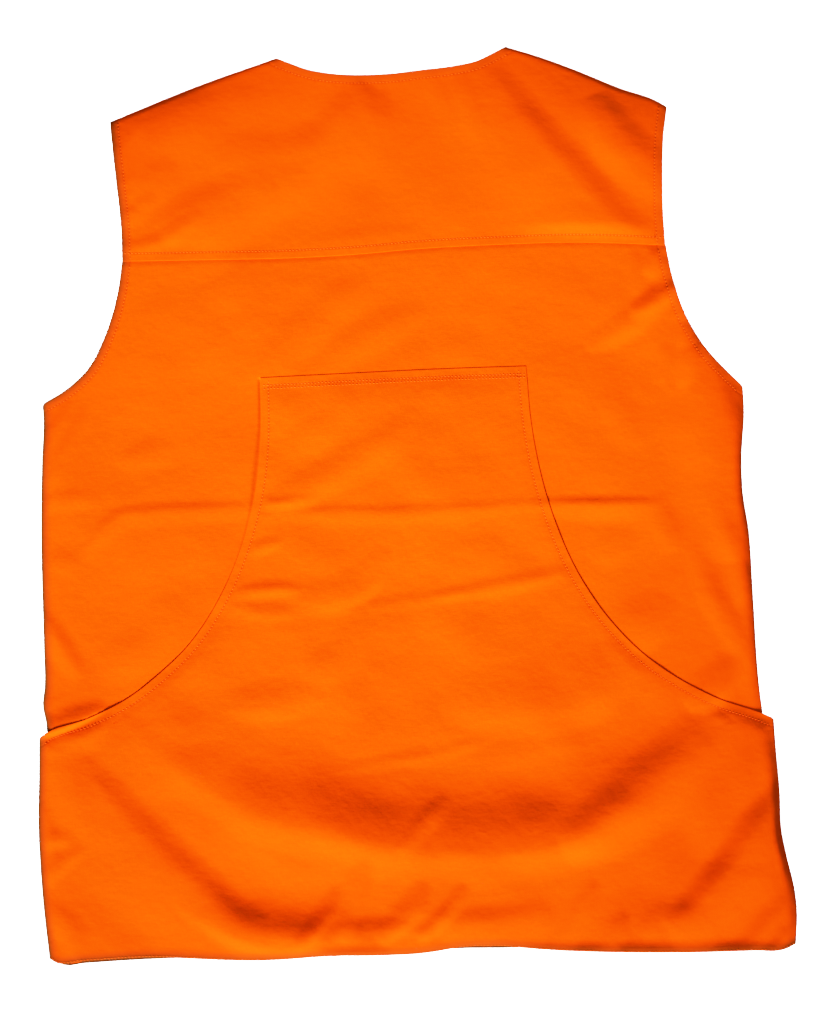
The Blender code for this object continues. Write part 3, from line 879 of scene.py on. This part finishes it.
SEAM_STEP = 0.12
SEAM_BAND = 9.0
YOKE_SEAM_FLAT = 17.0
# Share of painted shade right on the neckline
NECK_SHADE_PAINTED = 0.45
NECK_SHARES = (0.29, 0.70)
YOKE_CELLS = (208, 84)
YOKE_CREASES = (
    (26, 74, 4.3, 0.1, (50, 362), (61, 344), (78, 320), (101, 290), (127, 263), (151, 237),
     (178, 217), (201, 201)),
    (24, 26, 3.4, 0.0, (143, 336), (156, 308), (178, 283), (202, 262), (214, 254)),
    (11, 11, 1.3, 0.4, (-252, 207), (-229, 209), (-211, 214), (-191, 227), (-174, 239)),
    (26, 40, 2.8, 0.0, (-209, 219), (-180, 236), (-149, 248), (-116, 264)),
    (28, 46, 3.0, 0.0, (-168, 273), (-140, 283), (-104, 282), (-73, 293), (-52, 321), (-40, 344)),
    (20, 24, 0.9, 0.0, (-145, 250), (-117, 252), (-90, 273)),
    (9, 12, -1.0, 0.2, (-242, 265), (-235, 283), (-227, 306)),
    (10, 12, 0.9, 0.2, (-244, 231), (-229, 240), (-216, 254)),
    (18, 20, 1.0, 0.0, (-231, 246), (-218, 259), (-200, 282)),
    (10, 12, 0.3, 0.0, (-54, 355), (-44, 334), (-34, 308)),
    (6, 7, -0.2, 0.0, (-26, 355), (-23, 334), (-22, 313)),
    (11, 11, 0.25, 0.0, (6, 355), (16, 337), (24, 318)),
    (12, 13, 0.5, 0.0, (31, 355), (43, 328), (50, 291)),
    (18, 14, 0.7, 0.0, (80, 223), (121, 232), (176, 227)),
    (12, 10, 0.4, 0.1, (-96, 213), (-47, 218), (10, 223)),
    (40, 40, 0.7, 0.0, (-31, 259), (27, 247), (92, 259)),
    (26, 30, 1.3, 0.0, (-244, 298), (-203, 314), (-137, 337)),
)

YOKE_ARMHOLES = (
    edge("left seam", "left yoke armhole", "left tip"),
    edge("right seam", "right yoke armhole", "right tip"),
)


def yoke_height(x, y):
    seam = off(YOKE_SEAM, x, y)
    band = SEAM_STEP * (1 - reach(seam, SEAM_BAND))
    z = back_lie(x, y) + band + creased(YOKE_CREASES, x, y) * reach(seam, YOKE_SEAM_FLAT)
    z -= rounded(off_nearest([NECKLINE, YOKE_SEAM, *YOKE_ARMHOLES], x, y))
    return rolled_down(z, off_nearest(SHOULDERS, x, y), TWILL + FLOOR_LIE, WRAPS[0])


def back_yoke():
    sheet = laid_between(
        run((YOKE_SEAM, 1.0)),
        run((SHOULDERS[0], NECK_SHARES[0]), (NECKLINE, NECK_SHARES[1]), (SHOULDERS[1], 1.0)),
        run((YOKE_ARMHOLES[0], 1.0)),
        run((YOKE_ARMHOLES[1], 1.0)),
    )
    piece, x, y = cloth_sheet("back_yoke_cloth", sheet, YOKE_CELLS, yoke_height)
    mark_sewn_edges(piece, x, y, [NECKLINE, YOKE_SEAM, *YOKE_ARMHOLES])
    # painted shade along the neckline and armholes
    mark_painted_edge_shade(piece, x, y, [(NECKLINE, NECK_SHADE_PAINTED), *zip(YOKE_ARMHOLES, ARMHOLES_SHADE_PAINTED)])
    piece.data.materials.append(twill_material("back_yoke_twill"))
    rows = [
        (YOKE_SEAM, ROW_IN), (NECKLINE, -ROW_IN),
        (YOKE_ARMHOLES[0], -ROW_IN), (YOKE_ARMHOLES[1], ROW_IN),
    ]
    stitches = topstitch("topstitch_yoke", rows, yoke_height, seed=7)
    declare_cloth(piece, "back_yoke")


back_yoke()

# The back pocket: one wide panel over the lower back, with a curved hand opening on each
# side. It is sewn along its top and hem, and wraps a little way round both side seams.

CORNER.update({
    "right pocket top": (88.7, 114.4),
    "right pocket side": (291.7, -174.1),
    "left pocket hem": (-301.5, -371.0),
    "right pocket hem": (310.0, -358.6),
})
EDGE.update({
    "pocket top": ((-59.3, 108.3), (30.9, 112.6)),
    "left pocket side": ((-306.1, -331.8), (-308.8, -299.0), (-310.7, -258.0), (-310.2, -225.0)),
    "right pocket side": ((310.7, -330.0), (309.3, -317.0), (301.6, -283.5), (298.4, -268.0),
                          (296.6, -233.4), (293.3, -196.5)),
    "right hand opening": ((283.5, -170.5), (246.9, -158.0), (216.9, -143.2), (184.3, -120.6),
                           (158.0, -94.0), (135.1, -61.6), (107.7, 1.1), (93.0, 66.7)),
})

POCKET_SLACK = 0.7
SEWN_RAMP = 26.0
TOP_LIE = 14.0
SIDE_LIE = 7.0
HEM_LIE = 8.0
HEM_EASE = 5.0
POCKET_WRAPS = (6.0, 6.5)
HEM_WRAP = 1.2
SECOND_ROW_IN = 9.3
SLACK_LIE = 16.0
SLACK_EASE = 2.0
OPENING_LIE = 16.0
OPENINGS_PROUD = (0.15, 0.0)
POCKET_RIPPLES = (21, 26.0, 70.0, 0.14)
TOP_PRESSED = 0.36
POCKET_CORNER_SHARE = 0.38
POCKET_CELLS = (226, 200)
POCKET_CREASES = (
    (18, 18, 1.7, 0.15, (-127, -1), (-88, 16), (-55, 34), (-26, 51), (-1, 77)),
    (6, 7, 1.1, 0.2, (-137, 2), (-113, 2), (-81, 6)),
    (16, 16, 0.7, 0.0, (-116, 42), (-96, 52), (-72, 68), (-50, 90)),
    (6, 12, 1.0, 0.3, (-136, -7), (-80, -5), (-14, -5), (43, -2), (110, 4)),
    (8, 7, 1.0, 0.2, (-144, -38), (-127, -34), (-109, -28)),
    (8, 7, 1.6, 0.2, (-149, -71), (-122, -69), (-93, -68)),
    (8, 8, 0.8, 0.1, (-155, -84), (-122, -88), (-85, -86)),
    (22, 12, 2.0, 0.0, (-108, -78), (-67, -77), (-42, -66), (-24, -35)),
    (9, 9, 1.1, 0.4, (10, -75), (68, -66), (109, -57), (143, -48)),
    (7, 8, 0.5, 0.5, (-99, -89), (-55, -85), (-14, -79), (58, -69)),
    (24, 20, 0.8, 0.0, (1, -37), (27, -45), (74, -37)),
    (24, 20, 0.8, 0.0, (-99, -36), (-55, -45), (-11, -30)),
    (22, 18, 1.6, 0.1, (-154, -165), (-113, -161), (-77, -155)),
    (26, 26, 1.0, 0.0, (-227, -163), (-178, -173), (-127, -163)),
    (20, 20, 1.0, 0.0, (-96, -135), (-59, -124), (-47, -84)),
    (40, 26, 4.0, 0.2, (19, -161), (68, -166), (117, -162), (150, -151), (168, -130), (183, -107)),
    (8, 8, 0.5, 0.3, (-68, -218), (-26, -210), (27, -201), (78, -181)),
    (20, 20, 1.0, 0.0, (42, -215), (84, -197), (133, -186)),
    (56, 22, 2.6, 0.0, (-149, -345), (-80, -356), (-14, -360), (51, -356), (117, -360), (183, -358),
     (256, -358)),
    (34, 44, 3.2, 0.0, (-31, -320), (35, -325), (117, -322), (183, -307)),
    (46, 14, 3.2, 0.0, (-198, -324), (-152, -348), (-80, -361), (2, -360), (68, -350)),
    (64, 68, 9.6, 0.7, (-244, -174), (-211, -201), (-178, -225), (-141, -247), (-96, -263),
     (-55, -274), (2, -283), (51, -283), (105, -281), (133, -272), (155, -257), (191, -231),
     (219, -207), (238, -189)),
    (32, 34, 5.6, 0.1, (117, -279), (153, -261), (179, -242), (202, -222), (222, -202), (238, -184),
     (250, -169)),
    (44, 24, 2.6, 0.3, (-203, -210), (-166, -233), (-127, -253), (-88, -266), (-39, -274),
     (10, -277)),
    (52, 30, 2.4, 0.4, (-104, -242), (-39, -273), (19, -283), (84, -281), (133, -268), (174, -240)),
    (26, 58, 4.4, 0.1, (-291, -197), (-264, -233), (-231, -269), (-207, -292), (-178, -318),
     (-158, -338), (-127, -352), (-88, -360)),
    (36, 20, 2.4, 0.0, (-174, -328), (-149, -347), (-122, -359), (-96, -365), (-59, -369)),
    (44, 22, 9.4, 0.1, (311, -217), (294, -247), (280, -265), (265, -289), (248, -309), (230, -330),
     (202, -345)),
    (20, 16, 0.6, 0.0, (245, -212), (237, -250), (232, -289)),
    (14, 14, 1.2, 0.0, (283, -178), (289, -217), (293, -251)),
    (18, 70, 2.8, 0.0, (273, -173), (283, -225), (284, -291)),
    (11, 11, 1.5, 0.2, (-14, -283), (4, -261), (24, -237)),
    (20, 20, 1.0, 0.0, (15, -283), (51, -296), (96, -283)),
    (12, 8, 3.2, 0.2, (-101, -368), (-89, -353), (-73, -332), (-65, -310)),
    (8, 7, 1.6, 0.2, (-86, -365), (-78, -348), (-68, -325)),
    (26, 14, 2.2, 0.1, (-121, -348), (-96, -351), (-72, -351), (-45, -348)),
    (16, 12, 2.6, 0.0, (-65, -355), (-52, -323), (-42, -288)),
    (11, 5, 2.6, 0.2, (-91, -367), (-59, -369), (-21, -366)),
    (14, 26, 1.9, 0.2, (-88, -353), (-55, -349), (-14, -348), (19, -351)),
    (16, 10, 2.9, 0.0, (-32, -356), (-16, -343), (-1, -327), (5, -306)),
    (9, 9, 2.6, 0.1, (1, -355), (19, -337), (30, -324), (38, -307)),
    (18, 32, 3.2, 0.2, (15, -341), (43, -342), (76, -339), (109, -329)),
    (12, 14, 2.2, 0.0, (115, -366), (128, -342), (145, -307)),
    (30, 14, 1.6, 0.0, (174, -343), (199, -347), (224, -350), (247, -351)),
    (12, 9, 2.0, 0.0, (151, -368), (161, -352), (170, -332)),
    (10, 10, 1.0, 0.0, (176, -368), (186, -350), (202, -324)),
    (14, 4, 3.8, 0.0, (72, -365), (150, -369), (224, -367), (265, -366), (311, -364)),
    (15, 11, 3.0, 0.2, (265, -371), (281, -350), (296, -327), (299, -297)),
    (12, 8, 2.5, 0.2, (283, -371), (297, -355), (313, -329)),
    (8, 6, 1.4, 0.2, (301, -342), (306, -324), (312, -304)),
    (9, 12, 1.5, 0.0, (297, -268), (304, -296), (311, -325)),
    (11, 10, 1.4, 0.1, (-308, -278), (-296, -273), (-280, -276)),
    (12, 9, 1.8, 0.2, (-304, -309), (-293, -296), (-273, -278)),
    (9, 12, 1.4, 0.1, (-311, -242), (-301, -271), (-301, -314)),
    (15, 15, 2.0, 0.1, (-306, -324), (-293, -338), (-283, -351), (-282, -371)),
    (20, 22, 2.4, 0.2, (-311, -196), (-285, -186), (-249, -171)),
    (18, 18, 0.8, 0.0, (-295, -206), (-283, -233), (-272, -271)),
    (10, 18, 0.8, 0.2, (232, -163), (261, -173), (299, -181)),
    (28, 30, 1.2, 0.0, (-222, -156), (-162, -124), (-136, -74)),
)

POCKET_TOP = edge("left pocket top", "pocket top", "right pocket top")
POCKET_HEM = edge("left pocket hem", "pocket hem", "right pocket hem")
POCKET_SIDES = (
    edge("left pocket hem", "left pocket side", "left pocket side"),
    edge("right pocket hem", "right pocket side", "right pocket side"),
)
HAND_OPENINGS = (
    LEFT_OPENING,
    edge("right pocket side", "right hand opening", "right pocket top"),
)
WRAPPED_SIDES = tuple(
    np.vstack([below, above[above[:, 1] > below[-1, 1]]])
    for below, above in zip(POCKET_SIDES, (LEFT_SIDE, RIGHT_SIDE))
)


def pocket_height(x, y):
    """The pocket lies on the body, which it follows, and has slack and creases of its own."""
    top, hem = off(POCKET_TOP, x, y), off(POCKET_HEM, x, y)
    side = off_nearest(POCKET_SIDES, x, y)
    openings = [off(line, x, y) for line in HAND_OPENINGS]
    slack = POCKET_SLACK * reach(top, SEWN_RAMP) * reach(hem, SEWN_RAMP)
    slack *= reach(np.minimum(*openings) + SLACK_EASE, SLACK_LIE)
    free = reach(openings[0], OPENING_LIE) * reach(openings[1], OPENING_LIE)
    lie = np.maximum(back_lie(x, y, WRAPPED_SIDES) + creased(BODY_CREASES, x, y), body_height(x, y))
    lie += LAYER_GAP + TWILL
    folds = creased(POCKET_CREASES, x, y) * free + rippled(x, y, *POCKET_RIPPLES)
    folds *= reach(top, TOP_LIE)
    z = np.maximum(lie + slack + folds * reach(side, SIDE_LIE) * reach(hem + HEM_EASE, HEM_LIE), lie)
    z -= rounded(np.minimum(top, np.minimum(*openings))) + TOP_PRESSED * (1 - reach(top, SEWN_RAMP))
    for opening, proud in zip(openings, OPENINGS_PROUD):
        z += proud * (1 - reach(opening, OPENING_LIE)) * reach(top, SEWN_RAMP)
    z = rolled_down(z, hem, 2 * TWILL + LAYER_GAP, HEM_WRAP)
    for line, width in zip(POCKET_SIDES, POCKET_WRAPS):
        z = rolled_down(z, off(line, x, y), TWILL + FLOOR_LIE, width)
    return z


def back_pocket():
    sheet = laid_between(
        run((POCKET_HEM, 1.0)),
        run((POCKET_TOP, 1.0)),
        run((POCKET_SIDES[0], POCKET_CORNER_SHARE), (HAND_OPENINGS[0], 1.0)),
        run((POCKET_SIDES[1], POCKET_CORNER_SHARE), (HAND_OPENINGS[1], 1.0)),
    )
    piece, x, y = cloth_sheet("back_pocket_cloth", sheet, POCKET_CELLS, pocket_height)
    mark_sewn_edges(piece, x, y, [POCKET_TOP, *HAND_OPENINGS])
    # painted shade along the hem and sides
    mark_painted_edge_shade(piece, x, y, [(POCKET_HEM, HEM_SHADE_PAINTED), *zip(POCKET_SIDES, SIDES_SHADE_PAINTED)])
    piece.data.materials.append(twill_material("back_pocket_twill", worn=1.25))
    rows = [
        (POCKET_TOP, -ROW_IN), (POCKET_TOP, -SECOND_ROW_IN),
        (HAND_OPENINGS[0], -ROW_IN), (HAND_OPENINGS[1], ROW_IN),
        (POCKET_HEM, HEM_ROW_IN),
    ]
    stitches = topstitch("topstitch_pocket", rows, pocket_height, seed=8)
    declare_cloth(piece, "back_pocket")


back_pocket()

# The surface that the gilet lies on, and what lights and sees it: a low soft key light from
# the hem side with a pool of light in the same direction, a weak warm fill from all round, a
# light for the white paper alone, and the camera straight above. Lengths here are in metres.

PAPER_WHITE = (0.96, 0.96, 0.96, 1.0)
PAPER_HALF = 6.0
PAPER_DROP = 0.0001
KEY_FROM = Vector((-0.27, -1.0))
KEY_ELEVATION = math.radians(22.0)
KEY_STRENGTH = 8.5
KEY_ANGLE = math.radians(20.0)
POOL_CENTRE = Vector((-0.05, 0.03, 0.0))
POOL_REACH = 0.48
POOL_DISTANCE = 6.0
POOL_POWER = 5100.0
POOL_SIZE = 0.15
BACKLIGHT_STRENGTH = 7.5
FILL_STRENGTH = 0.28
FILL_COLOUR = (1.1, 0.95, 0.9)
SKY_SEEN = 1.1
CAMERA_PLACE = (0.0003, -0.0010, 1.9625)
CAMERA_LENS = 85.0
CAMERA_FAR = 20.0

# How the camera shows strong light: nothing below the knee changes, and what is above it is
# held back more and more, so that the brightest orange keeps its shape
CAMERA_WHITE = 2.0
CAMERA_KNEE = 0.6
CAMERA_SHOULDER = 0.42
CAMERA_STEPS = 20


def studio():
    bm = bmesh.new()
    bmesh.ops.create_grid(bm, x_segments=2, y_segments=2, size=PAPER_HALF)
    mesh = bpy.data.meshes.new("studio_floor")
    bm.to_mesh(mesh)
    bm.free()
    paper, _, _ = new_material(
        "white_paper", Base_Color=PAPER_WHITE, Roughness=0.95, Specular_IOR_Level=0.0,
    )
    mesh.materials.append(paper)
    floor = in_scene("studio_floor", mesh)
    floor.location.z = -PAPER_DROP
    floor.visible_diffuse = False

    key = bpy.data.lights.new("key", "SUN")
    key.energy = KEY_STRENGTH
    key.angle = KEY_ANGLE
    pool = bpy.data.lights.new("pool", "SPOT")
    pool.energy = POOL_POWER
    pool.spot_size = 2.0 * math.atan(POOL_REACH / POOL_DISTANCE)
    pool.spot_blend = 1.0
    pool.shadow_soft_size = POOL_SIZE
    towards = Vector((KEY_FROM.x, KEY_FROM.y, KEY_FROM.length * math.tan(KEY_ELEVATION))).normalized()
    for light in (key, pool):
        lamp = in_scene(light.name, light)
        lamp.rotation_euler = towards.to_track_quat("Z", "Y").to_euler()
        lamp.location = POOL_CENTRE + towards * POOL_DISTANCE
        lamp.scale.y = towards.z
    backlight = bpy.data.lights.new("backlight", "SUN")
    backlight.energy = BACKLIGHT_STRENGTH
    backdrop = bpy.data.collections.new("backdrop")
    backdrop.objects.link(floor)
    in_scene("backlight", backlight).light_linking.receiver_collection = backdrop

    world = bpy.data.worlds.new("fill")
    world.use_nodes = True
    tree = world.node_tree
    seen = tree.nodes.new("ShaderNodeLightPath").outputs["Is Camera Ray"]
    fill = (*(FILL_STRENGTH * value for value in FILL_COLOUR), 1.0)
    sky = mixed(tree, seen, fill, (SKY_SEEN, SKY_SEEN, SKY_SEEN, 1.0))
    tree.links.new(sky, tree.nodes["Background"].inputs["Color"])
    bpy.context.scene.world = world

    lens = bpy.data.cameras.new("camera")
    lens.lens = CAMERA_LENS
    lens.clip_end = CAMERA_FAR
    camera = in_scene("camera", lens)
    camera.location = CAMERA_PLACE
    bpy.context.scene.camera = camera
    view = bpy.context.scene.view_settings
    view.view_transform = "Standard"
    view.use_curve_mapping = True
    view.curve_mapping.white_level = (CAMERA_WHITE, CAMERA_WHITE, CAMERA_WHITE)
    for step in range(1, CAMERA_STEPS):
        light = CAMERA_WHITE * step / CAMERA_STEPS
        over = max(light - CAMERA_KNEE, 0.0)
        held = (1 - CAMERA_KNEE) * (1 - math.exp(-over / CAMERA_SHOULDER))
        view.curve_mapping.curves[3].points.new(light / CAMERA_WHITE, min(light, CAMERA_KNEE) + held)
    view.curve_mapping.update()


studio()
